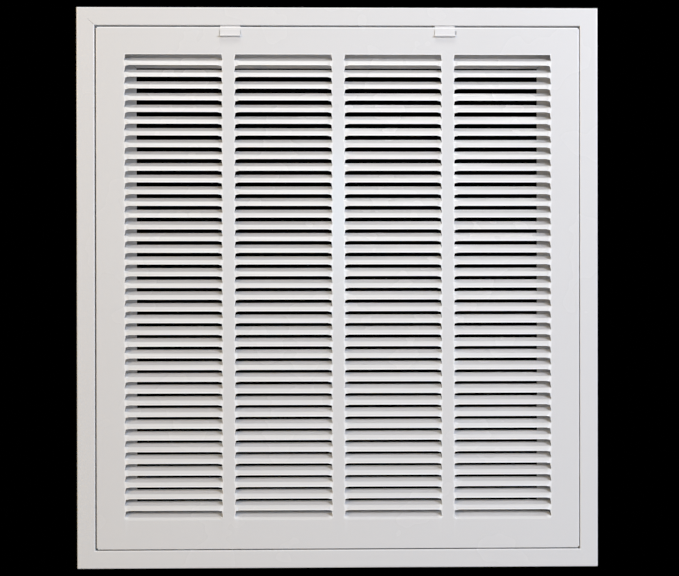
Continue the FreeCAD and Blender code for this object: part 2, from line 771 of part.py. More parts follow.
latch_pieces = []
for word, side, shift in (("left", -1.0, 0.0), ("right", 1.0, s.latch_shift)):
    x = s.door_shift + side * s.latch_place
    latch_pieces += [
        latch_guide(f"latch_guide_{word}", x),
        latch_spring(f"latch_spring_{word}", x - shift),
        latch_tab(f"latch_tab_{word}", x - shift),
        latch_slide(f"latch_slide_{word}", x - shift),
    ]


# Check and write
subparts = rails + [door, corner_rivets] + hooks + angles + latch_pieces
doc.recompute()
failed = [o.Name for o in doc.Objects if any(w in o.State for w in ("Invalid", "Error"))]
if failed:
    raise RuntimeError(f"failed features: {failed}")
for part in subparts:
    if part.Shape.isNull() or not part.Shape.isValid() or not part.Shape.Solids:
        raise RuntimeError(f"{part.Label} has no sound solid")

os.makedirs("parts", exist_ok=True)
for part in subparts:
    part.Shape.exportStep(f"parts/{part.Label}.step")
    print(part.Label, len(part.Shape.Solids), round(part.Shape.Volume, 1))
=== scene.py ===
"""A return air filter grille in white powder-coated steel, seen square on against black.

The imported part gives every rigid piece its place. This script gives the pieces their finishes and makes the
louvred door, the coat in the mitre seams, the leaf springs and the finger plates. Then it sets up the light
and the camera.
"""

import math

import bpy
import numpy as np
from mathutils import Matrix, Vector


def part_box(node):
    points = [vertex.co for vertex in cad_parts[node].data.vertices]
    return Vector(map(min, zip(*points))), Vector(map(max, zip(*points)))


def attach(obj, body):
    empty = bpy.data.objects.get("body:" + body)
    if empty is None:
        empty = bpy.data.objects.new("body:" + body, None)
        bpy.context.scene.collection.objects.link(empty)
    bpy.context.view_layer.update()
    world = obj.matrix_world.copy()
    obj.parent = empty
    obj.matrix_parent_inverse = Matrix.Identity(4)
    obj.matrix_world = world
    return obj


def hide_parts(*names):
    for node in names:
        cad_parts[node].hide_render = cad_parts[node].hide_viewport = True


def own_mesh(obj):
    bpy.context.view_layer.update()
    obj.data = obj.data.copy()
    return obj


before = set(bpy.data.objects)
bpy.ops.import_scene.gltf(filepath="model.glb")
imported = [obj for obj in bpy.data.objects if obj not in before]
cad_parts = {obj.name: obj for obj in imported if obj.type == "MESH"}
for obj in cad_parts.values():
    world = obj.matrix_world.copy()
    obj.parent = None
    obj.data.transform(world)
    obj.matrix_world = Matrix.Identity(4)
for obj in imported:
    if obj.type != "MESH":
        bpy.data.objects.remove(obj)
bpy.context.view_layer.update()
MM = 0.001


# Frame rails
# Four folded rails of 1 mm steel, mitred at the corners, welded and dipped in a satin white powder that is
# baked on. The coat has a faint orange peel, and a painted highlight whitens it along the flange's two bends.
darkest_shade, lightest_shade = 0.995, 1.004
# The white of the painted highlight that is mixed into the coat along bends and edges.
painted_highlight_white = (0.965, 0.965, 0.97, 1.0)
gloss_spread = 0.03
satin = 0.27
orange_peel = 0.000012
# How the painted highlight fades from the flange's outer and inner bends, and behind the front.
outer_bend_highlight = (0.0006, 0.0017, 0.9)
inner_bend_highlight = (0.0004, 0.0015, 0.55)
highlight_fade_behind_front = (0.0009, 0.0022)
flange_width = 19.8


def powder_coat(name, colour, roughness, peel_depth):
    """A coat of one colour: broad noise shifts its lightness, and fine noise of peel_depth metres raises it.

    Its node called edge takes the share of a painted highlight white, from 0 to 1.
    """
    coat = bpy.data.materials.new(name)
    coat.use_nodes = True
    nodes, links = coat.node_tree.nodes, coat.node_tree.links
    shader = nodes["Principled BSDF"]
    shader.inputs["IOR"].default_value = 1.5
    place = nodes.new("ShaderNodeTexCoord")
    cloud = nodes.new("ShaderNodeTexNoise")
    cloud.inputs["Scale"].default_value = 11.0
    cloud.inputs["Detail"].default_value = 3.0
    tint = nodes.new("ShaderNodeMix")
    tint.data_type = "RGBA"
    tint.inputs["A"].default_value = (*[darkest_shade * c for c in colour], 1.0)
    tint.inputs["B"].default_value = (*[lightest_shade * c for c in colour], 1.0)
    # The node edge mixes the painted highlight white into the coat's colour.
    edge = nodes.new("ShaderNodeMix")
    edge.name = "edge"
    edge.data_type = "RGBA"
    edge.inputs["Factor"].default_value = 0.0
    edge.inputs["B"].default_value = painted_highlight_white
    gloss = nodes.new("ShaderNodeMapRange")
    gloss.inputs["To Min"].default_value = roughness - gloss_spread
    gloss.inputs["To Max"].default_value = roughness + gloss_spread
    peel = nodes.new("ShaderNodeTexNoise")
    peel.inputs["Scale"].default_value = 700.0
    peel.inputs["Detail"].default_value = 1.5
    raised = nodes.new("ShaderNodeBump")
    raised.inputs["Strength"].default_value = 0.5
    raised.inputs["Distance"].default_value = peel_depth
    links.new(place.outputs["Object"], cloud.inputs["Vector"])
    links.new(cloud.outputs["Fac"], tint.inputs["Factor"])
    links.new(tint.outputs["Result"], edge.inputs["A"])
    links.new(edge.outputs["Result"], shader.inputs["Base Color"])
    links.new(cloud.outputs["Fac"], gloss.inputs["Value"])
    links.new(gloss.outputs["Result"], shader.inputs["Roughness"])
    links.new(place.outputs["Object"], peel.inputs["Vector"])
    links.new(peel.outputs["Fac"], raised.inputs["Height"])
    links.new(raised.outputs["Normal"], shader.inputs["Normal"])
    return coat


def finish_node(name, material):
    """Puts one finish on every material slot of a carried-over node."""
    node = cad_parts[name]
    if not node.material_slots:
        node.data.materials.append(material)
    for place in node.material_slots:
        place.material = material


def paint_flange_bend_highlights(coat, outside, width, front):
    """Drives the coat's edge from place: outside is half the frame, width the flange, front its front plane.

    One share of painted highlight falls off with the distance to the nearer outer edge, and one with the
    distance to the recess, each over about a millimetre. The larger of the two counts, and it fades out
    behind the front.
    """
    nodes, links = coat.node_tree.nodes, coat.node_tree.links

    def math_node(operation, first, second):
        node = nodes.new("ShaderNodeMath")
        node.operation = operation
        for socket, value in zip(node.inputs, (first, second)):
            if isinstance(value, float):
                socket.default_value = value
            else:
                links.new(value, socket)
        return node.outputs["Value"]

    def fade(value, near, far, strength):
        node = nodes.new("ShaderNodeMapRange")
        links.new(value, node.inputs["Value"])
        node.inputs["From Min"].default_value = near
        node.inputs["From Max"].default_value = far
        node.inputs["To Min"].default_value = strength
        node.inputs["To Max"].default_value = 0.0
        return node.outputs["Result"]

    place = nodes.new("ShaderNodeTexCoord")
    axes = nodes.new("ShaderNodeSeparateXYZ")
    links.new(place.outputs["Object"], axes.inputs["Vector"])
    aside = math_node("ABSOLUTE", axes.outputs["X"], 0.0)
    aloft = math_node("ABSOLUTE", axes.outputs["Z"], 0.0)
    from_side = math_node("SUBTRACT", float(outside[0]), aside)
    from_end = math_node("SUBTRACT", float(outside[1]), aloft)
    outer = math_node("MINIMUM", from_side, from_end)
    inner = math_node("SUBTRACT", width, outer)
    rim_highlight = math_node("MAXIMUM", fade(outer, *outer_bend_highlight), fade(inner, *inner_bend_highlight))
    whole, gone = (front + depth for depth in highlight_fade_behind_front)
    share = math_node("MULTIPLY", rim_highlight, fade(axes.outputs["Y"], whole, gone, 1.0))
    links.new(share, nodes["edge"].inputs["Factor"])


frame_coat = powder_coat("frame_coat", (0.80, 0.795, 0.795), satin, orange_peel)
frame_low, frame_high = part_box("top_rail")
flange_front = frame_low[1]
half_wide = frame_high[0] / MM
half_tall = frame_high[2] / MM
# A painted highlight whitens the frame coat along the flange's outer and inner bends.
paint_flange_bend_highlights(frame_coat, (frame_high[0], frame_high[2]), flange_width * MM, flange_front)
for side in ("top", "bottom", "left", "right"):
    finish_node(f"{side}_rail", frame_coat)


# Seam coat
# The powder that has filled the four mitre seams of the flange. At the upper left it stops short of the door,
# where the end of the seam still shows.
seam_start = 0.2
seam_outer_bend = 1.6
seam_inner_bend = 1.1
seam_bend_lines = 4
seam_depth = 8.0
seam_skin = 0.7
seam_width = 0.5
seam_proud = 0.03
seam_open_end = 7.0


def seam_profile(run, outer, inner, depth, skin):
    """Front and back of the coat along one seam, as distance from the corner and depth behind the flange.

    The front follows a quarter circle of the outer bend, the flat flange and a quarter circle of the inner
    bend. The back is the same line moved into the sheet by the skin.
    """
    turn = np.radians(np.linspace(0.0, 90.0, seam_bend_lines))
    along = [outer - outer * np.cos(turn), run - inner + inner * np.sin(turn)]
    behind = [outer - outer * np.sin(turn), inner - inner * np.cos(turn)]
    along = np.concatenate([[0.0], *along, [run]]) + seam_start
    behind = np.concatenate([[depth], *behind, [depth]])
    inward = np.clip(along, skin, run - skin)
    return np.stack([along, behind], axis=1), np.stack([inward, behind + skin], axis=1)


seam_parts = []
for x_side in (-1.0, 1.0):
    for z_side in (-1.0, 1.0):
        run = flange_width - seam_start - seam_open_end * (x_side < 0 < z_side)
        outer_line, inner_line = seam_profile(run, seam_outer_bend, seam_inner_bend, seam_depth, seam_skin)
        loop = np.concatenate([outer_line, inner_line[::-1]])
        spot = np.stack(
            [
                x_side * (half_wide - loop[:, 0]),
                flange_front / MM + loop[:, 1] - seam_proud,
                z_side * (half_tall - loop[:, 0]),
            ],
            axis=1,
        )
        across = np.array([z_side, 0.0, -x_side]) * seam_width / 2 / math.sqrt(2.0)
        seam_parts.append(np.stack([spot - across, spot + across]))
seam_points = np.array(seam_parts)
ring = np.arange(seam_points.shape[2])
ahead = np.roll(ring, -1)
count = len(ring)
bands = np.stack([ring, ahead, ahead + count, ring + count], axis=1)
lanes = np.arange(count // 2 - 1)
caps = np.stack([lanes, count - 1 - lanes, count - 2 - lanes, lanes + 1], axis=1)
one_seam = np.concatenate([bands, caps, caps[:, ::-1] + count])
seam_quads = (one_seam[None] + 2 * count * np.arange(len(seam_parts))[:, None, None]).reshape(-1, 4)
seam_mesh = bpy.data.meshes.new("seam_coat")
seam_mesh.from_pydata((seam_points.reshape(-1, 3) * MM).tolist(), [], seam_quads.tolist())
seam_mesh.materials.append(frame_coat)
seam_coat = bpy.data.objects.new("seam_coat", seam_mesh)
bpy.context.collection.objects.link(seam_coat)
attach(seam_coat, "frame")


# Corner angles and rivets
# Folded zinc-plated angles round the neck's corners, with plain aluminium rivets. Both stay uncoated.
def bare_metal(name, colour, roughness, grain_scale):
    """Plain metal: noise stretched by grain_scale varies its roughness, as rolled sheet shows."""
    metal = bpy.data.materials.new(name)
    metal.use_nodes = True
    nodes, links = metal.node_tree.nodes, metal.node_tree.links
    shader = nodes["Principled BSDF"]
    shader.inputs["Base Color"].default_value = (*colour, 1.0)
    shader.inputs["Metallic"].default_value = 1.0
    place = nodes.new("ShaderNodeTexCoord")
    stretch = nodes.new("ShaderNodeMapping")
    stretch.inputs["Scale"].default_value = grain_scale
    grain = nodes.new("ShaderNodeTexNoise")
    grain.inputs["Scale"].default_value = 1.0
    grain.inputs["Detail"].default_value = 3.0
    spread = nodes.new("ShaderNodeMapRange")
    spread.inputs["To Min"].default_value = roughness - 0.10
    spread.inputs["To Max"].default_value = roughness + 0.12
    links.new(place.outputs["Object"], stretch.inputs["Vector"])
    links.new(stretch.outputs["Vector"], grain.inputs["Vector"])
    links.new(grain.outputs["Fac"], spread.inputs["Value"])
    links.new(spread.outputs["Result"], shader.inputs["Roughness"])
    return metal


zinc_plate = bare_metal("zinc_plate", (0.58, 0.59, 0.60), 0.42, (120.0, 900.0, 120.0))
for corner in ("top_left", "top_right", "bottom_left", "bottom_right"):
    finish_node(f"corner_angle_{corner}", zinc_plate)
finish_node("corner_rivets", bare_metal("rivet_aluminium", (0.72, 0.72, 0.73), 0.35, (500.0, 500.0, 500.0)))


# Louvre door
# One sheet of 0.9 mm steel, lanced and pressed into four columns of forty blades, then folded back on all
# four sides and coated as the frame is. It is worked out in millimetres from the middle of its face.
door_coat = powder_coat("door_coat", (0.795, 0.79, 0.79), satin, orange_peel)
door_low, door_high = (np.array(corner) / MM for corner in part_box("louvre_door"))
door_middle = (door_low[0] + door_high[0]) / 2
door_wide = round(float(door_high[0] - door_low[0]) / 2, 3)
door_tall = round(float(door_high[2] - door_low[2]) / 2, 3)
thick = 0.9
bend = 1.2
fold_end = 9.7
relief = 1.5
top_play = 0.7
columns, column_pitch = 4, 120.9
column_places = column_pitch * (np.arange(columns) - (columns - 1) / 2)
blade_rows, pitch = 40, 12.9
first_slit_drop = 51.85
slits = round(half_tall, 3) - first_slit_drop - pitch * np.arange(blade_rows)
lance = 6.95
slit_half = 52.9
crease_half = 54.0
twist = 5.5
free_taper = 0.9
crease_depth = 1.8
flap_back, flap_up = 7.8, 4.0
free_depth, free_height = crease_depth + flap_back, flap_up - lance
eave_proud, eave_lift = 1.2, 1.0
eave_height = eave_lift - pitch
lean_way = np.array([-crease_depth - eave_proud, eave_height + lance])
last_foot = -lance + crease_depth * lean_way[1] / (crease_depth + eave_proud)
crease_round = 0.55
edge_band = 1.4
flat_hold = 0.5
free_rows, crease_rows, foot_rows = 2, 5, 2
rows_of_blade = free_rows + crease_rows + foot_rows
flat_normal = 0.9999
sheet_sharp = 24.0
on_line = 0.01
latch_place, latch_slot_half, tongue_slot_half = 118.8, 11.7, 12.0
latch_slot = (door_tall - 8.8, door_tall - 4.8)
tongue_slot = (1.4, 3.5)
hook_place, hook_slot_half = 166.0, 16.3
hook_slot = (4.4, 5.6)
bend_lines = 5
fold_lines = bend_lines + len(tongue_slot) + 1


def folded_lines(half, face_lines, low_stops, high_stops):
    """Grid lines across a sheet with folded edges, as place and depth for the front skin and the back skin.

    The front skin turns through a quarter circle of the bend radius at each edge and then runs straight back
    through the stops. The back skin follows it at the sheet's thickness.
    """
    turn = np.radians(np.linspace(0.0, 90.0, bend_lines))

    def edge(radius, wall, stops):
        place = np.concatenate([half - bend + radius * np.sin(turn), np.full(len(stops), wall)])
        return place, np.concatenate([bend - radius * np.cos(turn), stops])

    skins = []
    for radius, wall, depth in ((bend, half, 0.0), (bend - thick, half - thick, thick)):
        low, high = edge(radius, wall, low_stops), edge(radius, wall, high_stops)
        place = np.concatenate([-low[0][::-1], face_lines, high[0]])
        skins.append((place, np.concatenate([low[1][::-1], np.full(len(face_lines), depth), high[1]])))
    return skins


def blade_skins(stations, last):
    """Front and back skins of one blade over its stations: across, depth behind the face, height from slit.

    Between its twists a blade keeps one profile: free edge, rounded crease, eave. A line runs one band inside
    each edge, and another holds each side flat up to the crease. Over each twist the profile slides into the
    end line, which goes from the free edge's corner to the crease corner and to the foot corner in the flat
    sheet. A soft step of the distance over the twist gives the share of the end line.
    """
    crease = np.array([crease_depth, -lance])
    free = np.array([free_depth, free_height])
    eave = np.array([0.0, last_foot]) if last else np.array([-eave_proud, eave_height])
    foot = np.array([0.0, last_foot if last else -pitch])
    up = (free - crease) / np.linalg.norm(free - crease)
    down = lean_way / np.linalg.norm(lean_way)
    under = thick * np.array([up[1], -up[0]])
    behind = np.array([thick, 0.0])
    share = np.linalg.solve(np.stack([up, -down], axis=1), behind - under)[0]
    mitre = crease + under + share * up
    inside = crease_half - twist
    over = np.clip((np.abs(stations) - inside) / (slit_half - inside), 0.0, 1.0)
    step = over * over * (3.0 - 2.0 * over)
    banded = edge_band / np.linalg.norm(free - crease)
    free_half = crease_half - free_taper
    end_across = [free_half, free_half + banded * free_taper]
    end_across += [crease_half] * crease_rows + [slit_half] * foot_rows
    across = np.clip(stations, -inside, inside)[:, None]
    across = across + (np.sign(stations) * over)[:, None] * (np.array(end_across) - inside)
    skins = []
    for knee, flap_move, lean_move in ((crease, 0.0, 0.0), (mitre, under, behind)):
        high, low = knee + crease_round * up, knee + crease_round * down
        tip, bottom = free + flap_move, eave + lean_move
        bow = (high + 2.0 * knee + low) / 4.0
        upper = [tip, tip - edge_band * up, high + flat_hold * up, high]
        lower = [low, low + flat_hold * down, bottom - edge_band * down, bottom]
        profile = np.stack([*upper, bow, *lower])
        corner = np.array([0.0, -lance]) + lean_move
        banded_corner = tip + banded * (corner - tip)
        end_rows = [tip, banded_corner, *[corner] * crease_rows, *[foot + lean_move] * foot_rows]
        end_line = np.stack(end_rows)
        curve = profile + step[:, None, None] * (end_line - profile)
        skins.append(np.concatenate([across[:, :, None], curve], axis=2))
    return skins


def closed_sheet(name, front, back, quads, highlight_shares):
    """A closed mesh of two skins: equal front points are merged, and each free edge gets a band to the back.

    A side of a quad that has shrunk to a point is dropped, which leaves a triangle. The front points keep
    their share of painted highlight white as the attribute edge. Only faces that lie in the sheet's plane
    stay flat.
    """
    _, first, same = np.unique(np.round(front, 4), axis=0, return_index=True, return_inverse=True)
    front, back, quads = front[first], back[first], same.reshape(-1)[quads]
    shrunk = quads == np.roll(quads, -1, axis=1)
    narrow = shrunk.any(axis=1)
    whole = quads[~narrow]
    kept = np.arange(4)[None, :] != np.argmax(shrunk[narrow], axis=1)[:, None]
    corners = quads[narrow][kept].reshape(-1, 3)
    sides = np.concatenate(
        [np.stack([f, np.roll(f, -1, axis=1)], axis=2).reshape(-1, 2) for f in (whole, corners)]
    )
    _, index, uses = np.unique(np.sort(sides, axis=1), axis=0, return_index=True, return_counts=True)
    a, b = sides[index[uses == 1]].T
    total = len(front)
    bands = np.stack([b, a, a + total, b + total], axis=1)
    fours = np.concatenate([whole, whole[:, ::-1] + total, bands])
    threes = np.concatenate([corners, corners[:, ::-1] + total])
    mesh = bpy.data.meshes.new(name)
    mesh.from_pydata((np.concatenate([front, back]) * MM).tolist(), [], fours.tolist() + threes.tolist())
    # The attribute edge carries each front point's share of painted highlight.
    share = mesh.attributes.new("edge", "FLOAT", "POINT")
    share.data.foreach_set("value", np.concatenate([highlight_shares[first], np.zeros(total)]))
    normals = np.empty(3 * len(mesh.polygons))
    mesh.polygons.foreach_get("normal", normals)
    mesh.polygons.foreach_set("use_smooth", np.abs(normals[1::3]) < flat_normal)
    mesh.set_sharp_from_angle(angle=math.radians(sheet_sharp))
    return mesh


# The grid of the sheet has a line along every edge of an opening, and the lines beside a column of blades
# swing out at each crease. One more line runs beside each column and above the first slits, a band away.
both = (-1.0, 1.0)
lines = [(side * (door_wide - relief), 0.0) for side in both]
lines += [(c + side * slit_half, side) for c in column_places for side in both]
lines += [(c + side * (slit_half + edge_band), side) for c in column_places for side in both]
lines += [(c + side * (crease_half - twist), 0.0) for c in column_places for side in both]
lines += [(s * latch_place + side * latch_slot_half, 0.0) for s in both for side in both]
lines += [(s * latch_place + side * tongue_slot_half, 0.0) for s in both for side in both]
lines += [(s * hook_place + side * hook_slot_half, 0.0) for s in both for side in both]
lines = np.array(sorted(lines))
notches = (relief - door_tall, door_tall - top_play - relief)
levels = [(z, 0.0) for z in (*notches, slits[-1] + last_foot, *latch_slot)]
levels += [(z, 0.0) for z in slits] + [(z - lance, 1.0) for z in slits] + [(slits[0] + edge_band, 0.0)]
levels = np.array(sorted(levels))
x_skins = folded_lines(door_wide, lines[:, 0], (fold_end,), (fold_end,))
z_skins = folded_lines(door_tall, levels[:, 0], (*hook_slot, fold_end), (*tongue_slot, fold_end))
for z_place, _ in z_skins:
    z_place[-fold_lines:] -= top_play
flare = np.pad(lines[:, 1], (len(x_skins[0][0]) - len(lines)) // 2)
swell = np.pad(levels[:, 1], (len(z_skins[0][0]) - len(levels)) // 2)
swing = (crease_half - slit_half) * flare[:, None] * swell[None, :]
grid_skins = [
    np.stack(
        [
            x_place[:, None] + swing,
            np.maximum(x_depth[:, None], z_depth[None, :]),
            np.broadcast_to(z_place[None, :], swing.shape),
        ],
        axis=2,
    ).reshape(-1, 3)
    for (x_place, x_depth), (z_place, z_depth) in zip(x_skins, z_skins)
]

# A painted highlight whitens the coat along the door's bends, along the cut sides of the openings and above
# the first slits. A share above 1 makes the painted white band wider.
side_highlight, crease_highlight_loss = 1.7, 0.8
first_slit_highlight = 1.4
top_bend_highlight, side_bend_highlight = 1.6, 0.55
free_edge_highlight, eave_highlight = 1.2, 2.0
highlight_front_of_bend = 0.75
from_column = np.abs(x_skins[0][0][:, None] - column_places).min(axis=1)[:, None]
z_place = z_skins[0][0][None, :]
beside = np.abs(from_column - slit_half) < on_line
beside = beside & (z_place < slits[0] + on_line) & (z_place > slits[-1] - lance - on_line)
over_slit = (from_column < slit_half) & (np.abs(z_place - slits[0]) < on_line)
in_side_bend = (np.abs(x_skins[0][0]) > door_wide - bend - on_line)[:, None]
in_side_bend = in_side_bend | (z_place < bend - door_tall + on_line)
in_top_bend = z_place > door_tall - top_play - bend - on_line
in_front = np.maximum(x_skins[0][1][:, None], z_skins[0][1][None, :]) < highlight_front_of_bend * bend
grid_highlights = np.where(beside, side_highlight - crease_highlight_loss * (swell[None, :] > 0.0), 0.0)
grid_highlights = np.maximum(grid_highlights, first_slit_highlight * over_slit)
bend_highlights = np.where(in_top_bend, top_bend_highlight, side_bend_highlight * in_side_bend) * in_front
grid_highlights = np.maximum(grid_highlights, bend_highlights).reshape(-1)

# A cell of the grid is metal unless its middle lies in a corner notch, in a column of blades or in a slot.
x_mid = (x_skins[0][0][1:] + x_skins[0][0][:-1])[:, None] / 2
z_mid = (z_skins[0][0][1:] + z_skins[0][0][:-1])[None, :] / 2
z_deep = (z_skins[0][1][1:] + z_skins[0][1][:-1])[None, :] / 2
from_column = np.abs(x_mid - column_places).min(axis=1)[:, None]
from_latch = np.abs(np.abs(x_mid) - latch_place)
from_hook = np.abs(np.abs(x_mid) - hook_place)
open_cell = (np.abs(x_mid) > door_wide - relief) & ((z_mid < notches[0]) | (z_mid > notches[1]))
open_cell |= (from_column < slit_half) & (z_mid < slits[0]) & (z_mid > slits[-1] + last_foot)
open_cell |= (from_latch < latch_slot_half) & (z_mid > latch_slot[0]) & (z_mid < latch_slot[1])
in_tongue_band = (z_mid > 0.0) & (z_deep > tongue_slot[0]) & (z_deep < tongue_slot[1])
open_cell |= (from_latch < tongue_slot_half) & in_tongue_band
in_hook_band = (z_mid < 0.0) & (z_deep > hook_slot[0]) & (z_deep < hook_slot[1])
open_cell |= (from_hook < hook_slot_half) & in_hook_band
i, j = np.nonzero(~open_cell)
tall = swing.shape[1]
grid_quads = np.stack([i * tall + j, (i + 1) * tall + j, (i + 1) * tall + j + 1, i * tall + j + 1], axis=1)

# All blades but the last row have six stations. The last row takes the lines of the grid, so that its foot
# closes on the flat sheet. A seeded jitter crumples the middle of each twist.
fronts, backs, quads, highlight_shares = [grid_skins[0]], [grid_skins[1]], [grid_quads], [grid_highlights]
filled = len(grid_skins[0])
crumple_size, eave_crumple = 0.16, 0.6
crumple = np.random.default_rng(12)
inside = crease_half - twist
pinch = 1.9
pressed = np.array([-slit_half, -inside - pinch, -inside, inside, inside + pinch, slit_half])
for c in column_places:
    within = lines[np.abs(lines[:, 0] - c) < slit_half + on_line, 0] - c
    for stations, last, tops in ((pressed, False, slits[:-1]), (within, True, slits[-1:])):
        front, back = blade_skins(stations, last)
        place = np.stack([np.full(len(tops), c), np.zeros(len(tops)), tops], axis=1)[:, None, None, :]
        twisted = (np.abs(stations) > inside + on_line) & (np.abs(stations) < slit_half - on_line)
        jitter = crumple.normal(0.0, crumple_size, (len(tops), len(stations), rows_of_blade, 3))
        jitter *= twisted[None, :, None, None]
        jitter[..., 0] = 0.0
        jitter[:, :, -1] *= 0.0 if last else eave_crumple
        fronts.append((front + place + jitter).reshape(-1, 3))
        backs.append((back + place + jitter).reshape(-1, 3))
        # The free edge and the eave of each blade get a painted highlight.
        bands = np.array([free_edge_highlight, *[0.0] * (rows_of_blade - 2), 0.0 if last else eave_highlight])
        highlight_shares.append(np.tile(bands, len(tops) * len(stations)))
        s, r = (g.reshape(-1) for g in np.indices((len(stations) - 1, rows_of_blade - 1)))
        corner = s * rows_of_blade + r
        one_blade = np.stack([corner, corner + 1, corner + 1 + rows_of_blade, corner + rows_of_blade], axis=1)
        starts = filled + rows_of_blade * len(stations) * np.arange(len(tops))
        quads.append((one_blade[None] + starts[:, None, None]).reshape(-1, 4))
        filled += rows_of_blade * len(stations) * len(tops)
move = np.array([door_middle, flange_front / MM, 0.0])
fronts, backs, quads, highlight_shares = (np.concatenate(part) for part in (fronts, backs, quads, highlight_shares))
door_mesh = closed_sheet("louvred_sheet", fronts + move, backs + move, quads, highlight_shares)
# The attribute edge drives the door coat's painted highlight white.
painted_highlight_attribute = door_coat.node_tree.nodes.new("ShaderNodeAttribute")
painted_highlight_attribute.attribute_name = "edge"
door_coat.node_tree.links.new(painted_highlight_attribute.outputs["Fac"], door_coat.node_tree.nodes["edge"].inputs["Factor"])
door_mesh.materials.append(door_coat)
louvred_sheet = bpy.data.objects.new("louvred_sheet", door_mesh)
bpy.context.collection.objects.link(louvred_sheet)
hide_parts("louvre_door")
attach(louvred_sheet, "door")

# Hooks and latch guides
# Small folded steel tabs and pockets, welded to the door before it is coated.
for name in ("hinge_hook_left", "hinge_hook_right", "latch_guide_left", "latch_guide_right"):
    finish_node(name, door_coat)

# Leaf springs
# A bowed strip of bare spring steel under each slide. The real one is pressed flatter as the slide comes
# down; this strip keeps its rest bow.
spring_steel = bare_metal("spring_steel", (0.42, 0.42, 0.44), 0.30, (60.0, 60.0, 900.0))
spring_sheet = 0.4
spring_foot = 2.0
spring_crown_half = 3.0
strip_stations = 25
solid_sharp = 35.0


def leaf_strip(name, low, high):
    """A strip that follows a half wave from each foot up to the crown, in the box of its solid.

    Its four long lines are upper front, upper back, lower back and lower front.
    """
    middle, half = (low[0] + high[0]) / 2, (high[0] - low[0]) / 2
    across = np.linspace(-half, half, strip_stations)
    ramp = (np.abs(across) - spring_crown_half) / (half - spring_foot - spring_crown_half)
    rise = 0.5 + 0.5 * np.cos(np.pi * np.clip(ramp, 0.0, 1.0))
    under = low[2] + rise * (high[2] - low[2] - spring_sheet)
    lines_of_strip = [(low[1], spring_sheet), (high[1], spring_sheet), (high[1], 0.0), (low[1], 0.0)]
    points = [
        np.stack([middle + across, np.full(strip_stations, y), under + lift], axis=1)
        for y, lift in lines_of_strip
    ]
    start = strip_stations * np.arange(len(lines_of_strip))[:, None]
    ahead = np.roll(start, -1, axis=0)
    step = np.arange(strip_stations - 1)[None, :]
    sides = np.stack([start + step, start + step + 1, ahead + step + 1, ahead + step], axis=2).reshape(-1, 4)
    first_end = start[:, 0]
    last_end = first_end[::-1] + strip_stations - 1
    faces = [*sides.tolist(), first_end.tolist(), last_end.tolist()]
    mesh = bpy.data.meshes.new(name)
    mesh.from_pydata((np.concatenate(points) * MM).tolist(), [], faces)
    mesh.polygons.foreach_set("use_smooth", np.ones(len(mesh.polygons), dtype=bool))
    mesh.set_sharp_from_angle(angle=math.radians(solid_sharp))
    return mesh


for side in ("left", "right"):
    low, high = (np.array(corner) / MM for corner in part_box(f"latch_spring_{side}"))
    strip_mesh = leaf_strip(f"leaf_spring_{side}", low, high)
    strip_mesh.materials.append(spring_steel)
    leaf_spring = bpy.data.objects.new(f"leaf_spring_{side}", strip_mesh)
    bpy.context.collection.objects.link(leaf_spring)
    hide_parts(f"latch_spring_{side}")
    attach(leaf_spring, "door")
    foot_spot = ((low + high) / 2 * MM).tolist()
    foot_spot[2] = float(low[2] * MM)
    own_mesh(leaf_spring)

# Finger latches
# Moulded white plastic: a finger plate with its ledge in front of the face, and a slide behind it. The plate
# sits 1.5 mm lower on the face than the solid does. Its edges and the hollow over the ledge are rounded.
moulded_white = powder_coat("moulded_white", (0.79, 0.785, 0.79), 0.42, 0.000004)
plate_lower = 1.5
plate_thick = 0.9
ledge_reach = 3.4
ledge_thick = 1.3
hollow_round = 1.6
tab_round = 0.4
neck_half = 10.2
neck_levels = (-4.4, -3.0)
arc_points = 5


def arc(middle, radius, start, end):
    """Points of a circle in the plane of depth and height, from one angle to another in degrees."""
    turn = np.radians(np.linspace(start, end, arc_points))
    return np.array(middle) + radius * np.stack([np.cos(turn), np.sin(turn)], axis=1)


def finger_tab(name, low, high):
    """A mesh of the plate, its ledge and its neck, inside the solid's box but for the lowered plate.

    The section of plate and ledge runs from the lower back edge round the front to the upper back edge.
    """
    bottom, top = low[2] - plate_lower, high[2] - plate_lower
    ledge_front, back = low[1], low[1] + ledge_reach
    ledge_top = bottom + ledge_thick
    plate_front = back - plate_thick
    section = np.concatenate(
        [
            [(back, bottom)],
            arc((ledge_front + tab_round, bottom + tab_round), tab_round, 270.0, 180.0),
            arc((ledge_front + tab_round, ledge_top - tab_round), tab_round, 180.0, 90.0),
            arc((plate_front - hollow_round, ledge_top + hollow_round), hollow_round, 270.0, 360.0),
            arc((plate_front + tab_round, top - tab_round), tab_round, 180.0, 90.0),
            [(back, top)],
        ]
    )
    middle = (low[0] + high[0]) / 2
    neck_low, neck_high = (high[2] + level for level in neck_levels)
    neck = [(back, neck_low), (back, neck_high), (high[1], neck_high), (high[1], neck_low)]
    points, faces, filled = [], [], 0
    for loop, left, right in ((section, low[0], high[0]), (neck, middle - neck_half, middle + neck_half)):
        total = len(loop)
        for across in (left, right):
            points += [(across, depth, height) for depth, height in loop]
        for i in range(total):
            ahead = (i + 1) % total
            faces.append([filled + k for k in (total + i, total + ahead, ahead, i)])
        faces.append([filled + i for i in range(total)])
        faces.append([filled + 2 * total - 1 - i for i in range(total)])
        filled += 2 * total
    mesh = bpy.data.meshes.new(name)
    mesh.from_pydata((np.array(points) * MM).tolist(), [], faces)
    mesh.polygons.foreach_set("use_smooth", np.ones(len(mesh.polygons), dtype=bool))
    mesh.set_sharp_from_angle(angle=math.radians(solid_sharp))
    return mesh


for side in ("left", "right"):
    box = (np.array(corner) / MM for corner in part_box(f"latch_tab_{side}"))
    tab_mesh = finger_tab(f"finger_tab_{side}", *box)
    tab_mesh.materials.append(moulded_white)
    tab = bpy.data.objects.new(f"finger_tab_{side}", tab_mesh)
    bpy.context.collection.objects.link(tab)
    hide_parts(f"latch_tab_{side}")
    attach(tab, f"latch_{side}")
    finish_node(f"latch_slide_{side}", moulded_white)

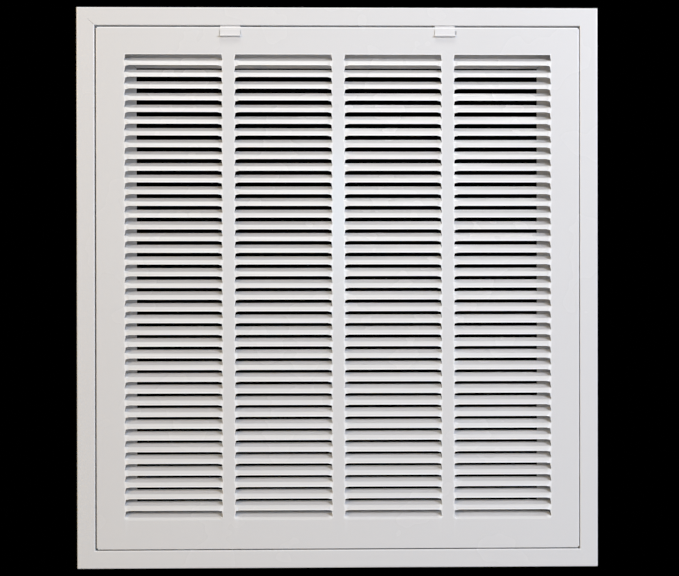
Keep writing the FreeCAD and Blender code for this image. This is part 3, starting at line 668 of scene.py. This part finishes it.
# Floor and surround
# The grille hangs well above a plain pale floor, and behind it there is nothing but black.
floor_height = -0.75
floor_half_width = 2.2
floor_front = -3.0
floor_back = 1.9
floor_mesh = bpy.data.meshes.new("floor")
floor_corners = [
    (-floor_half_width, floor_front, floor_height),
    (floor_half_width, floor_front, floor_height),
    (floor_half_width, floor_back, floor_height),
    (-floor_half_width, floor_back, floor_height),
]
floor_mesh.from_pydata(floor_corners, [], [(0, 1, 2, 3)])
floor = bpy.data.objects.new("floor", floor_mesh)
bpy.context.collection.objects.link(floor)
floor_paint = bpy.data.materials.new("floor_paint")
floor_paint.use_nodes = True
floor_shader = floor_paint.node_tree.nodes["Principled BSDF"]
floor_shader.inputs["Base Color"].default_value = (0.62, 0.62, 0.61, 1.0)
floor_shader.inputs["Roughness"].default_value = 0.8
floor_mesh.materials.append(floor_paint)
surround = bpy.data.worlds.new("black")
surround.use_nodes = True
surround.node_tree.nodes["Background"].inputs["Color"].default_value = (0.0, 0.0, 0.0, 1.0)
bpy.context.scene.world = surround


# Studio light
# A strong box to the right and a weaker warm one to the left stand above the camera's level, too far aside to
# be mirrored in the sheet. Two weak boxes hang overhead, a small bluish lamp sits just over the camera, and
# one box behind lights only the back.
grille_middle = (0.0, 0.0, 0.0)


def soft_box(name, place, aim, size, power, colour):
    """A rectangular area light at a place, turned towards a point."""
    data = bpy.data.lights.new(name, "AREA")
    data.shape = "RECTANGLE"
    data.size, data.size_y = size
    data.energy = power
    data.color = colour
    lamp = bpy.data.objects.new(name, data)
    bpy.context.collection.objects.link(lamp)
    way = np.array(aim, float) - np.array(place, float)
    flat = math.hypot(way[0], way[1])
    lamp.location = place
    lamp.rotation_euler = (math.pi / 2 + math.atan2(way[2], flat), 0.0, -math.atan2(way[0], way[1]))


soft_box("right_box", (1.4, -1.8, 0.8), grille_middle, (0.6, 0.5), 38.1, (0.83, 0.87, 1.0))
soft_box("left_box", (-1.45, -1.8, 0.6), grille_middle, (0.6, 0.5), 16.4, (1.0, 0.74, 0.40))
soft_box("ceiling_box", (0.0, -0.8, 1.7), grille_middle, (1.2, 0.5), 6.1, (0.88, 1.0, 0.84))
soft_box("overhead_box", (0.0, -0.45, 1.3), grille_middle, (1.0, 0.3), 2.5, (1.0, 0.875, 0.975))
soft_box("camera_lamp", (0.03, -1.75, 0.19), (0.0, 0.0, 0.05), (0.12, 0.12), 3.0, (0.54, 0.77, 1.0))
soft_box("rear_box", (0.5, 1.7, 1.4), grille_middle, (1.0, 0.6), 9.0, (1.0, 1.0, 1.0))

# Camera
# A short telephoto stands a little left of the middle, nearly level with it, and turns back to the grille.
camera_distance = 1.55
camera_side = -0.029
camera_height = 0.006
look_at = (0.0015, flange_front, -0.0002)
camera_roll = math.radians(-0.075)
sensor_width = 36.0
view_width = 0.7487
camera_data = bpy.data.cameras.new("camera")
camera_data.sensor_width = sensor_width
camera_data.lens = sensor_width * camera_distance / view_width
camera_data.clip_start = 0.05
camera = bpy.data.objects.new("camera", camera_data)
bpy.context.collection.objects.link(camera)
camera.location = (camera_side, flange_front - camera_distance, camera_height)
aside = look_at[0] - camera.location.x
beyond = look_at[1] - camera.location.y
above = look_at[2] - camera.location.z
camera.rotation_euler = (
    math.pi / 2 + math.atan2(above, math.hypot(aside, beyond)),
    0.0,
    -math.atan2(aside, beyond),
)
level = camera.rotation_euler.to_matrix()
camera.rotation_euler = (level @ Matrix.Rotation(camera_roll, 3, "Z")).to_euler()
bpy.context.scene.camera = camera
bpy.context.scene.view_settings.view_transform = "Standard"
